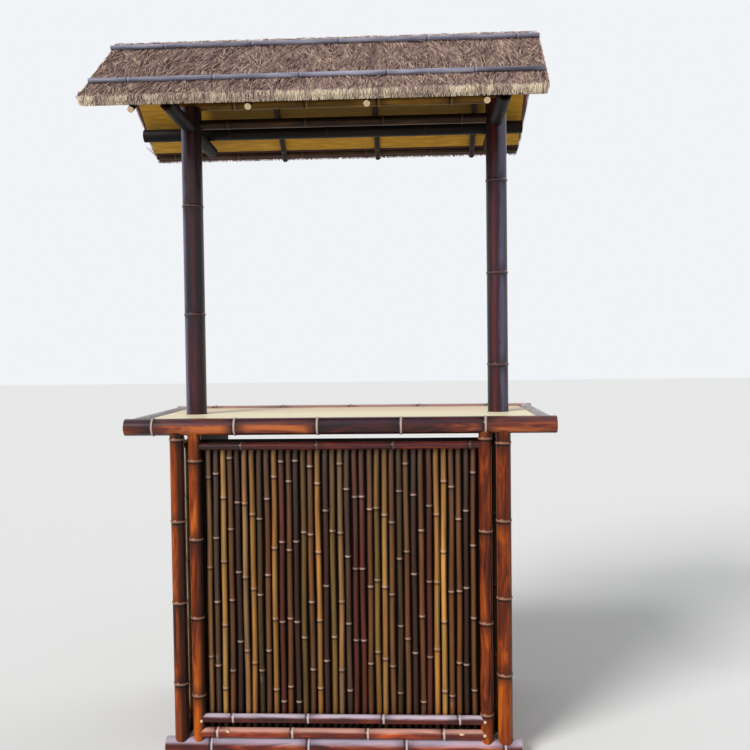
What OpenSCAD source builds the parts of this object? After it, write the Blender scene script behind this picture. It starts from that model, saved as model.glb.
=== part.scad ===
// Garden bar of lacquered bamboo culms with a small thatched gable roof.
// Millimetres, +Z up, front towards -Y. The origin is on the ground, below the middle of the roof.

/* [Counter] */
// How far the front and back counter beams run past a post's axis
counter_overhang = 152; // [110:2:154]
// Depth of the counter over both beams
counter_depth = 654; // [560:2:700]
// Height of the beams' tops
counter_height = 1068; // [950:2:1150]
// Diameter of the counter beams
beam_d = 54; // [46:1:60]
// Diameter of the two end poles
end_pole_d = 50; // [40:1:54]
// Thickness of the counter board
board_t = 12; // [8:1:18]
// How far the board lies below the beams' tops
board_drop = 8; // [4:1:14]
// Gap between the board and the poles round it
board_gap = 1; // [0.5:0.5:3]
// Diameter of the bearers under the board
bearer_d = 32; // [24:1:38]
// Distance between bearers
bearer_pitch = 300; // [200:10:400]

/* [Base] */
// Shift of the bar to the right of the roof's middle
bar_shift = 60; // [30:2:60]
// Width over the outer legs
base_width = 1076; // [1000:2:1120]
// Diameter of the outer legs
outer_leg_d = 46; // [38:1:50]
// Diameter of the inner legs
inner_leg_d = 40; // [34:1:44]
// Gap between an outer and an inner leg
leg_gap = 14; // [10:1:24]
// How far the front and back sills run past the base
sill_overhang = 28; // [15:1:45]
// Diameter of the sills on the ground
sill_d = 50; // [44:1:58]
// Thickness planed off under the sills
sill_flat = 4; // [2:0.5:6]
// Depth of the saddle cut in an upright's end
saddle_depth = 8; // [4:1:10]

/* [Panels] */
// Height of the open slot under the front beam
beam_slot = 24; // [14:1:60]
// Diameter of the panels' top rail
top_rail_d = 24; // [20:1:30]
// Diameter of the upper bottom rail
upper_rail_d = 28; // [22:1:32]
// Diameter of the lower bottom rail
lower_rail_d = 32; // [26:1:36]
// Gap between the two bottom rails
rail_gap = 16; // [8:1:30]
// Depth planed off a rail where the slats lie
rail_flat = 2; // [1.5:0.5:4]
// Diameter of the slats
slat_d = 19; // [15:0.5:21]
// Distance between slats
slat_pitch = 23.4; // [22:0.1:28]
// Distance from a slat's end to the edge of its rail
slat_inset = 4; // [1:1:10]
// Thickness of the board behind the slats
backing_t = 5; // [3:0.5:8]
// How far that board stands above the slats
backing_rise = 12; // [0:1:14]

/* [Posts] */
// Distance between the two roof posts
post_span = 1056; // [1000:2:1100]
// Diameter of the roof posts
post_d = 71; // [60:1:80]
// Diameter of the front to back ties
tie_d = 44; // [34:1:46]
// Length of the ties
tie_length = 590; // [520:5:600]
// Clearance of a tie in its post
tie_clearance = 0.2; // [0.1:0.05:0.3]
// Diameter of the upper header pole
upper_header_d = 34; // [28:1:40]
// Length of the upper header past a post's axis
header_overhang = 34; // [24:1:60]
// Height of the upper header's axis above the ties' axis
upper_header_lift = 82; // [70:1:90]
// Diameter of the lower header pole
lower_header_d = 33; // [26:1:38]
// Height of the lower header's axis above the ties' axis
lower_header_lift = 16; // [0:1:24]
// Diameter of the king posts
king_post_d = 45; // [36:1:50]

/* [Roof] */
// Height of the rafters' apex
apex_z = 2290; // [2250:5:2320]
// Distance from the ridge to a rafter's tip
rafter_run = 372; // [340:2:400]
// Fall of a rafter over that distance
rafter_fall = 268; // [240:1:290]
// Diameter of the rafters
rafter_d = 20; // [16:1:26]
// Distance between rafters
rafter_pitch = 362; // [320:2:380]
// Shift of the rafters to the left of the roof's middle
rafter_shift = 15; // [0:1:20]
// Length of the purlins, ridge pole, eave poles and boards
roof_length = 1408; // [1340:4:1440]
// Diameter of the ridge pole
ridge_pole_d = 40; // [32:1:46]
// Diameter of the front purlin
front_purlin_d = 34; // [28:1:44]
// Diameter of the back purlin
back_purlin_d = 46; // [34:1:48]
// Distance from the ridge to a purlin
purlin_run = 220; // [200:2:240]
// Diameter of the eave poles
eave_pole_d = 20; // [16:1:24]
// Distance from an eave pole to the rafters' tips
eave_pole_inset = 14; // [12:1:30]
// Thickness of the roof boards
roof_board_t = 6; // [4:1:10]
// How far a roof board stops short of its eave pole
board_setback = 18; // [0:1:30]
// Thickness of the thatch over the boards
thatch_t = 32; // [28:1:50]
// How far the thatch runs past the boards at each end
thatch_verge = 11; // [4:1:30]
// Thickness of the thatch's lip in front of an eave pole
lip_t = 28; // [20:1:30]
// Size of the sloped edge along the top of the eave
lip_bevel = 8; // [4:1:12]
// Thatch beyond the rafters' tips
thatch_overhang = 13; // [5:1:40]
// Diameter of the battens on the thatch
batten_d = 16; // [12:1:20]
// How far the ridge battens run past the thatch
ridge_batten_overhang = 17; // [2:1:30]
// Distance from the ridge to the ridge battens
ridge_batten_run = 12; // [10:1:40]
// How far the lower battens stop short of the thatch's ends
lower_batten_inset = 8; // [0:1:20]
// Distance from the ridge to the lower battens
lower_batten_run = 352; // [300:2:380]

/* [Culms] */
// Height of a node ring on a thick culm
ring_h = 2; // [1:0.25:3]
// Half the width of a node ring
ring_w = 6; // [4:0.5:9]
// Height of a node ring on a slat
slat_ring_h = 1; // [0.5:0.25:1.25]
// Wall of a culm at a cut end, as a share of its radius
wall_share = 0.32; // [0.2:0.02:0.5]
// Depth of the hollow in a cut end
hollow_depth = 30; // [10:2:60]
// Gap that keeps two round poles from pressing into each other
seat = 0.1; // [0.05:0.05:0.2]

/* [Hidden] */
$fn = 48;

lacquer = [0.42, 0.2, 0.1];
dark = [0.17, 0.08, 0.09];
straw = [0.5, 0.4, 0.36];

// Counter
beam_y = (counter_depth - beam_d) / 2;
beam_z = counter_height - beam_d / 2;
counter_length = post_span + 2 * counter_overhang;
end_pole_x = (counter_length - end_pole_d) / 2;
end_pole_z = counter_height - end_pole_d / 2;
board_top = counter_height - board_drop;
board_l = 2 * end_pole_x - end_pole_d - 2 * board_gap;
board_w = 2 * beam_y - beam_d - 2 * board_gap;
bearer_z = board_top - board_t - bearer_d / 2;
post_hole_d = post_d + 2 * (ring_h + board_gap);

// Node rings: the first one's distance from a culm's low end, and the distance between them.
// Pairs are left and right or front and back; the outer legs have front pairs, then back pairs.
outer_leg_first = [[184, 218], [130, 215]];
outer_leg_nodes = [[260, 243], [250, 250]];
inner_leg_first = [146, 91];
inner_leg_nodes = [250, 290];
beam_first = [91, 150];
beam_nodes = 262;
sill_first = 122;
sill_nodes = 310;
rail_first = [150, 110, 60];
rail_nodes = 240;
post_first = 240;
post_nodes = [377, 315];
tie_first = 145;
tie_nodes = 300;
upper_header_first = 190;
upper_header_nodes = 250;
lower_header_first = 130;
lower_header_nodes = 270;

// The same for the slats, from the left, as they were counted off the picture
slat_first = [
    251, 222, 149, 206, 300, 271, 232, 207, 271, 146, 107, 155, 106, 314, 211, 151, 239, 316, 210,
    144, 306, 305, 231, 269, 247, 223, 137, 311, 266, 109, 253, 278, 144, 129, 235, 229, 147];
slat_nodes = [
    289, 206, 205, 228, 224, 237, 239, 244, 244, 228, 257, 220, 258, 338, 217, 219, 241, 340, 220,
    215, 229, 230, 247, 230, 230, 230, 215, 279, 252, 274, 241, 215, 223, 333, 229, 245, 231];

// Base
sill_length = base_width + 2 * sill_overhang;
sill_z = sill_d / 2 - sill_flat;
sill_top = sill_z + sill_d / 2;
outer_leg_x = (base_width - outer_leg_d) / 2;
inner_leg_x = outer_leg_x - outer_leg_d / 2 - leg_gap - inner_leg_d / 2;
upright_foot = sill_top - saddle_depth;
leg_l = beam_z - beam_d / 2 + saddle_depth - upright_foot;

// Panels: the rails' planed faces share one plane, and the slats lie against it
lower_rail_z = sill_top + seat + lower_rail_d / 2;
upper_rail_z = lower_rail_z + lower_rail_d / 2 + rail_gap + upper_rail_d / 2;
top_rail_z = beam_z - beam_d / 2 - beam_slot - top_rail_d / 2;
front_plane = -beam_y + top_rail_d / 2 - rail_flat;
side_plane = outer_leg_x - top_rail_d / 2 + rail_flat;
slat_z0 = sill_top + slat_inset;
slat_l = top_rail_z + top_rail_d / 2 - slat_inset - slat_z0;
backing_h = slat_l + backing_rise;
backing_l = 2 * (inner_leg_x - inner_leg_d / 2) - 2 * board_gap;
slat_count = 1 + floor((backing_l - slat_d) / slat_pitch);
backing_side_l = 2 * (beam_y - outer_leg_d / 2);
bay_l = beam_y - outer_leg_d / 2 - post_d / 2;
bay_slats = floor((bay_l - slat_d / 2) / slat_pitch);
bay_y = (beam_y - outer_leg_d / 2 + post_d / 2) / 2;

// Roof
pitch = atan2(rafter_fall, rafter_run);
rafter_l = sqrt(pow(rafter_run, 2) + pow(rafter_fall, 2));
ridge_pole_z = apex_z - (rafter_d / 2 + ridge_pole_d / 2 + seat) / cos(pitch);
front_purlin_z = purlin_height(front_purlin_d);
back_purlin_z = purlin_height(back_purlin_d);
board_seat = rafter_d / 2 + seat;
thatch_seat = board_seat + roof_board_t;
thatch_top = thatch_seat + thatch_t;
eave_seat = rafter_d / 2 + seat + eave_pole_d;
eave_pole_s = rafter_l - eave_pole_inset;
eave_step = eave_pole_s - eave_pole_d / 2 - seat;
board_end = eave_step - board_setback;
thatch_end = rafter_l + thatch_overhang;
thatch_length = roof_length + 2 * thatch_verge;
lip_seat = thatch_top - lip_t;
lip_s = eave_pole_s + eave_pole_d / 2 + seat;
batten_p = thatch_top + batten_d / 2;
ridge_batten_length = thatch_length + 2 * ridge_batten_overhang;
lower_batten_length = thatch_length - 2 * lower_batten_inset;

// Posts. The ties lean just enough to lie under both purlins
post_x = post_span / 2;
purlin_step = back_purlin_z - front_purlin_z;
tie_lean = asin((back_purlin_d - front_purlin_d) / 2 / sqrt(pow(2 * purlin_run, 2) + pow(purlin_step, 2)))
    - atan2(purlin_step, 2 * purlin_run);
tie_z = back_purlin_z
    - ((back_purlin_d + tie_d) / 2 + seat - purlin_run * sin(tie_lean)) / cos(tie_lean);
upper_header_z = tie_z + upper_header_lift;
lower_header_z = tie_z + lower_header_lift;
post_top = upper_header_z - upper_header_d / 2 + saddle_depth;
king_foot = upper_header_z + 2;
king_top = ridge_pole_z - ridge_pole_d / 2 + saddle_depth;

// Height of a purlin's axis, with the purlin against the rafters
function purlin_height(d) = apex_z - purlin_run * tan(pitch) - (rafter_d / 2 + d / 2 + seat) / cos(pitch);

// Places of node rings midway between rafters, along a culm of the roof's length
function bay_rings() = [for (i = [-1 : 1]) roof_length / 2 + i * rafter_pitch - rafter_shift];

// Places of node rings along a culm, from the first one on
function rings(l, first, pitch) = [for (p = [first : pitch : l - 3 * ring_w]) p];

// The entry of a table for the front or back and the left or right
function pick(v, e, s) = v[e < 0 ? 0 : 1][s < 0 ? 0 : 1];

// Half outline of a culm that stands on the origin, with hollow cut ends where asked
function culm_outline(l, r, at, h, low, high) = concat(
    low ? [[0, hollow_depth], [r * (1 - wall_share), hollow_depth], [r * (1 - wall_share), 0]] : [[0, 0]],
    [[r, 0]],
    [for (p = at) each [[r, p - ring_w], [r + h, p - ring_w / 3], [r + h, p + ring_w / 3], [r, p + ring_w]]],
    [[r, l]],
    high ? [[r * (1 - wall_share), l], [r * (1 - wall_share), l - hollow_depth], [0, l - hollow_depth]]
        : [[0, l]]);

// A culm that stands on the origin
module culm(l, d, at = [], h = ring_h, low = false, high = false)
    rotate_extrude() polygon(culm_outline(l, d / 2, at, h, low, high));

// A culm along X, centred on the origin
module culm_x(l, d, at = [], h = ring_h, cut = true)
    rotate([0, 90, 0]) translate([0, 0, -l / 2]) culm(l, d, at, h, cut, cut);

// A culm along Y, centred on the origin
module culm_y(l, d, at = [], h = ring_h, cut = true)
    rotate([-90, 0, 0]) translate([0, 0, -l / 2]) culm(l, d, at, h, cut, cut);

// Moves the bar's pieces to their place under the roof
module bar() translate([bar_shift, 0, 0]) children();

// Sills
module long_sill(cut) culm_x(sill_length, sill_d, rings(sill_length, sill_overhang + sill_first, sill_nodes), ring_h, cut);

module sill_frame() {
    for (s = [-1, 1]) {
        translate([0, s * beam_y, sill_z]) long_sill(false);
        translate([s * outer_leg_x, 0, sill_z])
            rotate([-90, 0, 0]) cylinder(d = sill_d, h = 2 * beam_y, center = true);
    }
}

module ground() translate([-sill_length, -counter_depth, -sill_d])
    cube([2 * sill_length, 2 * counter_depth, sill_d]);

module end_sill(s) color(lacquer) bar() difference() {
    translate([0, s * beam_y, sill_z]) long_sill(true);
    ground();
}

module side_sill(s) color(lacquer) bar() difference() {
    translate([s * outer_leg_x, 0, sill_z])
        rotate([-90, 0, 0]) cylinder(d = sill_d, h = 2 * beam_y, center = true);
    for (e = [-1, 1]) translate([0, e * beam_y, sill_z]) long_sill(false);
    ground();
}

module front_sill() end_sill(-1);
module back_sill() end_sill(1);
module left_sill() side_sill(-1);
module right_sill() side_sill(1);

// Legs
module beam_shape(s, cut) translate([0, s * beam_y, beam_z])
    culm_x(counter_length, beam_d, rings(counter_length, beam_first[s < 0 ? 0 : 1], beam_nodes), ring_h, cut);

module outer_leg_shape(s, e) translate([s * outer_leg_x, e * beam_y, upright_foot])
    culm(leg_l, outer_leg_d, rings(leg_l, pick(outer_leg_first, e, s), pick(outer_leg_nodes, e, s)));

module inner_leg_shape(s) translate([s * inner_leg_x, -beam_y, upright_foot])
    culm(leg_l, inner_leg_d, rings(leg_l, inner_leg_first[s < 0 ? 0 : 1], inner_leg_nodes[s < 0 ? 0 : 1]));

module seated(e) difference() {
    children();
    beam_shape(e, false);
    sill_frame();
}

module front_outer_legs() color(lacquer) bar() for (s = [-1, 1]) seated(-1) outer_leg_shape(s, -1);
module front_inner_legs() color(lacquer) bar() for (s = [-1, 1]) seated(-1) inner_leg_shape(s);
module back_legs() color(lacquer) bar() for (s = [-1, 1]) seated(1) outer_leg_shape(s, 1);

// Front panel
module rail(z, d, first) color(lacquer) bar() difference() {
    translate([0, front_plane + rail_flat - d / 2, z])
        culm_x(2 * inner_leg_x, d, rings(2 * inner_leg_x, first, rail_nodes), ring_h / 2, false);
    for (s = [-1, 1]) inner_leg_shape(s);
    translate([-inner_leg_x, front_plane, z - d]) cube([2 * inner_leg_x, d, 2 * d]);
}

module panel_top_rail() rail(top_rail_z, top_rail_d, rail_first[0]);
module panel_upper_rail() rail(upper_rail_z, upper_rail_d, rail_first[1]);
module panel_lower_rail() rail(lower_rail_z, lower_rail_d, rail_first[2]);

// One slat, with its node rings between the rails
module slat(i) culm(slat_l, slat_d, rings(slat_l - top_rail_d, slat_first[i], slat_nodes[i]), slat_ring_h, $fn = 24);

module front_slats() color(lacquer) bar()
    for (i = [0 : slat_count - 1])
        translate([(i - (slat_count - 1) / 2) * slat_pitch, front_plane + slat_d / 2, slat_z0])
            slat(i % len(slat_first));

module front_backing() color(dark) bar()
    translate([-backing_l / 2, front_plane + slat_d + slat_ring_h, slat_z0])
        cube([backing_l, backing_t, backing_h]);

// Sides, each with a bay before and behind its roof post
module post_shape(s) translate([s * post_x, 0, upright_foot])
    culm(post_top - upright_foot, post_d,
        rings(post_top - upright_foot, post_first, post_nodes[s < 0 ? 0 : 1]));

module side_rail(s, z, d) difference() {
    translate([s * (side_plane - rail_flat + d / 2), 0, z]) culm_y(2 * beam_y, d, [], 0, false);
    for (e = [-1, 1]) outer_leg_shape(s, e);
    post_shape(s);
    translate([s * (side_plane - d / 2), 0, z]) cube([d, 2 * beam_y, 2 * d], center = true);
}

module side_rails(s) color(lacquer) bar() {
    side_rail(s, top_rail_z, top_rail_d);
    side_rail(s, upper_rail_z, upper_rail_d);
    side_rail(s, lower_rail_z, lower_rail_d);
}

module side_slats(s) color(lacquer) bar()
    for (e = [-1, 1], i = [0 : bay_slats - 1])
        translate([s * (side_plane - slat_d / 2), e * bay_y + (i - (bay_slats - 1) / 2) * slat_pitch, slat_z0])
            slat((18 + 11 * s + 5 * e + i) % len(slat_first));

module side_backing(s) color(dark) bar()
    translate([s * (side_plane - slat_d - slat_ring_h - backing_t / 2), 0, slat_z0 + backing_h / 2])
        cube([backing_t, backing_side_l, backing_h], center = true);

module left_side_rails() side_rails(-1);
module left_side_slats() side_slats(-1);
module left_side_backing() side_backing(-1);
module right_side_rails() side_rails(1);
module right_side_slats() side_slats(1);
module right_side_backing() side_backing(1);

// Counter
module front_counter_beam() color(lacquer) bar() beam_shape(-1, true);
module back_counter_beam() color(lacquer) bar() beam_shape(1, true);

module cross_pole(x, z, d) difference() {
    translate([x, 0, z]) rotate([-90, 0, 0]) cylinder(d = d, h = 2 * beam_y, center = true);
    for (s = [-1, 1]) beam_shape(s, false);
}

module counter_end_poles() color(lacquer) bar()
    for (s = [-1, 1]) cross_pole(s * end_pole_x, end_pole_z, end_pole_d);

module counter_bearers() color(lacquer) bar()
    for (i = [-1 : 1]) cross_pole(i * bearer_pitch, bearer_z, bearer_d);

module counter_board() color([0.95, 0.9, 0.7]) bar() difference() {
    translate([-board_l / 2, -board_w / 2, board_top - board_t]) cube([board_l, board_w, board_t]);
    for (s = [-1, 1]) translate([s * post_x, 0, board_top - 2 * board_t]) cylinder(d = post_hole_d, h = 3 * board_t);
}

// Posts, ties and headers
module tie_shape(s, d, cut) translate([s * post_x, 0, tie_z]) rotate([-tie_lean, 0, 0])
    culm_y(tie_length, d, cut ? rings(tie_length, tie_first, tie_nodes) : [], ring_h / 2, cut);

module upper_header_shape(cut) translate([0, 0, upper_header_z])
    culm_x(post_span + 2 * header_overhang, upper_header_d,
        rings(post_span + 2 * header_overhang, upper_header_first, upper_header_nodes), ring_h / 2, cut);

module post(s) color(dark) bar() difference() {
    post_shape(s);
    sill_frame();
    tie_shape(s, tie_d + 2 * tie_clearance, false);
    upper_header_shape(false);
}

module left_post() post(-1);
module right_post() post(1);
module left_tie() color(dark) bar() tie_shape(-1, tie_d, true);
module right_tie() color(dark) bar() tie_shape(1, tie_d, true);
module upper_header() color(lacquer) bar() upper_header_shape(true);

module lower_header() color(lacquer) bar() difference() {
    translate([0, 0, lower_header_z])
        culm_x(post_span, lower_header_d, rings(post_span, lower_header_first, lower_header_nodes),
            ring_h / 2, false);
    for (s = [-1, 1]) post_shape(s);
}

module ridge_pole_shape(cut) translate([0, 0, ridge_pole_z])
    culm_x(roof_length, ridge_pole_d, bay_rings(), ring_h / 2, cut);

module king_posts() color(dark) difference() {
    bar() for (s = [-1, 1]) translate([s * post_x, 0, king_foot]) cylinder(d = king_post_d, h = king_top - king_foot);
    bar() upper_header_shape(false);
    ridge_pole_shape(false);
}

// Roof frame: s along the rafter from the apex, p square to it
module slope(side) translate([0, 0, apex_z]) rotate([0, 0, side < 0 ? 0 : 180]) rotate([pitch, 0, 0]) children();

module lean(side) intersection() {
    slope(side) children();
    translate([-roof_length, side < 0 ? -counter_depth : 0, 0]) cube([2 * roof_length, counter_depth, 2 * apex_z]);
}

module rafters(side) color(dark) lean(side)
    for (i = [-1.5 : 1.5]) translate([i * rafter_pitch + side * rafter_shift, -rafter_l, 0]) rotate([-90, 0, 0])
        cylinder(d = rafter_d, h = rafter_l + rafter_d);

module slope_pole(side, s, p, l, d) color(dark) slope(side) translate([0, -s, p]) culm_x(l, d, [], 0, true);

module purlin(side, z, d) color(dark) translate([0, side * purlin_run, z])
    culm_x(roof_length, d, bay_rings(), ring_h / 2, true);

module roof_board(side) color([0.6, 0.45, 0.2]) lean(side)
    translate([-roof_length / 2, -board_end, board_seat]) cube([roof_length, board_end + thatch_top, roof_board_t]);

// Thatch, stepped up over the eave pole and down again in front of it
module thatch(side) color(straw) lean(side)
    translate([-thatch_length / 2, 0, 0]) rotate([90, 0, 90]) linear_extrude(thatch_length) polygon([
        [thatch_top, thatch_seat], [-eave_step, thatch_seat], [-eave_step, eave_seat + seat],
        [-lip_s, eave_seat + seat], [-lip_s, lip_seat], [-thatch_end, lip_seat],
        [-thatch_end, thatch_top - lip_bevel], [lip_bevel - thatch_end, thatch_top], [thatch_top, thatch_top]]);

module ridge_pole() color(dark) ridge_pole_shape(true);
module front_purlin() purlin(-1, front_purlin_z, front_purlin_d);
module back_purlin() purlin(1, back_purlin_z, back_purlin_d);
module front_rafters() rafters(-1);
module back_rafters() rafters(1);
module front_eave_pole() slope_pole(-1, eave_pole_s, eave_seat - eave_pole_d / 2, roof_length, eave_pole_d);
module back_eave_pole() slope_pole(1, eave_pole_s, eave_seat - eave_pole_d / 2, roof_length, eave_pole_d);
module front_roof_board() roof_board(-1);
module back_roof_board() roof_board(1);
module front_thatch() thatch(-1);
module back_thatch() thatch(1);

module ridge_battens()
    for (side = [-1, 1]) slope_pole(side, ridge_batten_run, batten_p, ridge_batten_length, batten_d);

module lower_battens()
    for (side = [-1, 1]) slope_pole(side, lower_batten_run, batten_p, lower_batten_length, batten_d);

front_sill();
back_sill();
left_sill();
right_sill();
front_outer_legs();
front_inner_legs();
back_legs();
panel_top_rail();
panel_upper_rail();
panel_lower_rail();
front_slats();
front_backing();
left_side_rails();
left_side_slats();
left_side_backing();
right_side_rails();
right_side_slats();
right_side_backing();
front_counter_beam();
back_counter_beam();
counter_end_poles();
counter_bearers();
counter_board();
left_post();
right_post();
left_tie();
right_tie();
upper_header();
lower_header();
king_posts();
ridge_pole();
front_purlin();
back_purlin();
front_rafters();
back_rafters();
front_eave_pole();
back_eave_pole();
front_roof_board();
back_roof_board();
front_thatch();
back_thatch();
ridge_battens();
lower_battens();
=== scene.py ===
import math

import bpy
import numpy as np
from mathutils import Matrix, Vector


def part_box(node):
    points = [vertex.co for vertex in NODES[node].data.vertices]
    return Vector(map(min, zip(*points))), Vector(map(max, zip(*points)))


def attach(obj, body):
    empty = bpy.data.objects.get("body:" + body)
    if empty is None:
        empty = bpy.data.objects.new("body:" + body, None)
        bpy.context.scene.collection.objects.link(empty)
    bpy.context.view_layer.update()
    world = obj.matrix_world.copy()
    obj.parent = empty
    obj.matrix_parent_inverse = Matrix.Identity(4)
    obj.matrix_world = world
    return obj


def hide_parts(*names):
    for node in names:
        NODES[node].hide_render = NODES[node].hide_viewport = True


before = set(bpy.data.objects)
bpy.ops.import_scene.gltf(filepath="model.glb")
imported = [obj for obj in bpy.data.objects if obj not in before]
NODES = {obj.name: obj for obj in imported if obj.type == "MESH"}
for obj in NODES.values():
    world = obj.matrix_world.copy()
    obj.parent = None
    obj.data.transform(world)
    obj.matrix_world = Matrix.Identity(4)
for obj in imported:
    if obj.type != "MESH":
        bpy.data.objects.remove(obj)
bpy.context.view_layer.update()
rng = np.random.default_rng(7)

# Sizes shared with the part, in metres
BAR_X = 0.060
FOOT = 0.038
APEX = 2.290
PITCH = math.atan2(0.268, 0.372)
RAFTER = math.hypot(0.372, 0.268)
ROOF_L = 1.408
THATCH_L = 1.430
THATCH_SEAT = 0.0161
THATCH_TOP = 0.0481
THATCH_END = RAFTER + 0.013
EAVE_STEP = RAFTER - 0.0241
EAVE_SEAT = 0.0302
LIP_S = RAFTER - 0.0039
LIP_SEAT = 0.0201
BACKING_LAP = 0.010
SLAT_R = 0.0095
SLAT_PITCH = 0.0234
SLAT_Z0, SLAT_L = 0.050, 0.936
# Place in x and z, radius, and the front and rear ends in y
PEGS = [((0.510, 0.109), 0.0050, -0.3215, -0.312), ((0.509, 0.066), 0.0055, -0.3215, -0.312),
        ((-0.388, 0.104), 0.0050, -0.3210, -0.310), ((0.437, 0.0665), 0.0085, -0.3195, -0.306),
        ((-0.304, 0.070), 0.0070, -0.3190, -0.306)]
SLAT_FIRST = [251, 222, 149, 206, 300, 271, 232, 207, 271, 146, 107, 155, 106, 314, 211, 151, 239, 316, 210,
              144, 306, 305, 231, 269, 247, 223, 137, 311, 266, 109, 253, 278, 144, 129, 235, 229, 147]
SLAT_NODES = [289, 206, 205, 228, 224, 237, 239, 244, 244, 228, 257, 220, 258, 338, 217, 219, 241, 340, 220,
              215, 229, 230, 247, 230, 230, 230, 215, 279, 252, 274, 241, 215, 223, 333, 229, 245, 231]


# Colours, given as sRGB values of 0 to 255
def rgb(r, g, b):
    out = []
    for v in (r, g, b):
        v = v / 255
        out.append(v / 12.92 if v <= 0.04045 else ((v + 0.055) / 1.055) ** 2.4)
    return (out[0], out[1], out[2], 1.0)


class Mat:
    """A small helper that builds a node material."""

    def __init__(self, name, rough=0.4, coat=0.0, coat_rough=0.12, spec=0.4, sheen=0.0):
        self.m = bpy.data.materials.new(name)
        self.m.use_nodes = True
        self.t = self.m.node_tree
        self.b = self.t.nodes["Principled BSDF"]
        self.b.inputs["Roughness"].default_value = rough
        self.b.inputs["Coat Weight"].default_value = coat
        self.b.inputs["Coat Roughness"].default_value = coat_rough
        self.b.inputs["Specular IOR Level"].default_value = spec
        self.b.inputs["Sheen Weight"].default_value = sheen
        self.co = self.node("ShaderNodeTexCoord").outputs["Object"]

    def node(self, kind, **kw):
        n = self.t.nodes.new(kind)
        for k, v in kw.items():
            setattr(n, k, v)
        return n

    def put(self, sock, v):
        if isinstance(v, bpy.types.NodeSocket):
            self.t.links.new(v, sock)
        elif v is not None:
            sock.default_value = v

    def math(self, op, a, b=None, c=None, clamp=False):
        n = self.node("ShaderNodeMath", operation=op, use_clamp=clamp)
        for i, v in enumerate((a, b, c)):
            if v is not None:
                self.put(n.inputs[i], v)
        return n.outputs[0]

    def xyz(self, v=None):
        n = self.node("ShaderNodeSeparateXYZ")
        self.put(n.inputs[0], v or self.co)
        return n.outputs

    def vec(self, x, y, z):
        n = self.node("ShaderNodeCombineXYZ")
        for i, v in enumerate((x, y, z)):
            self.put(n.inputs[i], v)
        return n.outputs[0]

    def scaled(self, s, v=None):
        n = self.node("ShaderNodeVectorMath", operation="MULTIPLY")
        self.put(n.inputs[0], v or self.co)
        n.inputs[1].default_value = s
        return n.outputs[0]

    def plus(self, a, b):
        n = self.node("ShaderNodeVectorMath", operation="ADD")
        self.put(n.inputs[0], a)
        self.put(n.inputs[1], b)
        return n.outputs[0]

    def noise(self, v, scale=1.0, detail=3.0, rough=0.55, dist=0.0):
        n = self.node("ShaderNodeTexNoise")
        self.put(n.inputs["Vector"], v)
        n.inputs["Scale"].default_value = scale
        n.inputs["Detail"].default_value = detail
        n.inputs["Roughness"].default_value = rough
        n.inputs["Distortion"].default_value = dist
        return n.outputs["Fac"]

    def ramp(self, fac, stops):
        n = self.node("ShaderNodeValToRGB")
        e = n.color_ramp.elements
        while len(e) < len(stops):
            e.new(0.5)
        for i, (p, c) in enumerate(stops):
            e[i].position = p
            e[i].color = c if len(c) == 4 else (*c, 1)
        self.put(n.inputs[0], fac)
        return n.outputs[0]

    def span(self, v, a, b, lo=0.0, hi=1.0):
        n = self.node("ShaderNodeMapRange", interpolation_type="SMOOTHSTEP")
        for i, x in enumerate((v, a, b, lo, hi)):
            self.put(n.inputs[i], x)
        return n.outputs[0]

    def mix(self, fac, a, b, mode="MIX"):
        n = self.node("ShaderNodeMix", data_type="RGBA", blend_type=mode)
        self.put(n.inputs["Factor"], fac)
        self.put(n.inputs[6], a)
        self.put(n.inputs[7], b)
        return n.outputs[2]

    def white(self, w):
        n = self.node("ShaderNodeTexWhiteNoise", noise_dimensions="1D")
        self.put(n.inputs["W"], w)
        return n.outputs["Value"]

    def attr(self, name):
        return self.node("ShaderNodeAttribute", attribute_name=name).outputs["Color"]

    def bump(self, h, strength, dist=0.001):
        n = self.node("ShaderNodeBump")
        n.inputs["Strength"].default_value = strength
        n.inputs["Distance"].default_value = dist
        self.put(n.inputs["Height"], h)
        return n.outputs[0]

    def done(self, colour, normal=None, rough=None):
        self.put(self.b.inputs["Base Color"], colour)
        self.put(self.b.inputs["Normal"], normal)
        self.put(self.b.inputs["Roughness"], rough)
        return self.m


def dress(mat, *names):
    for name in names:
        ob = NODES[name]
        if not ob.material_slots:
            ob.data.materials.append(mat)
        for slot in ob.material_slots:
            slot.material = mat
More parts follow.
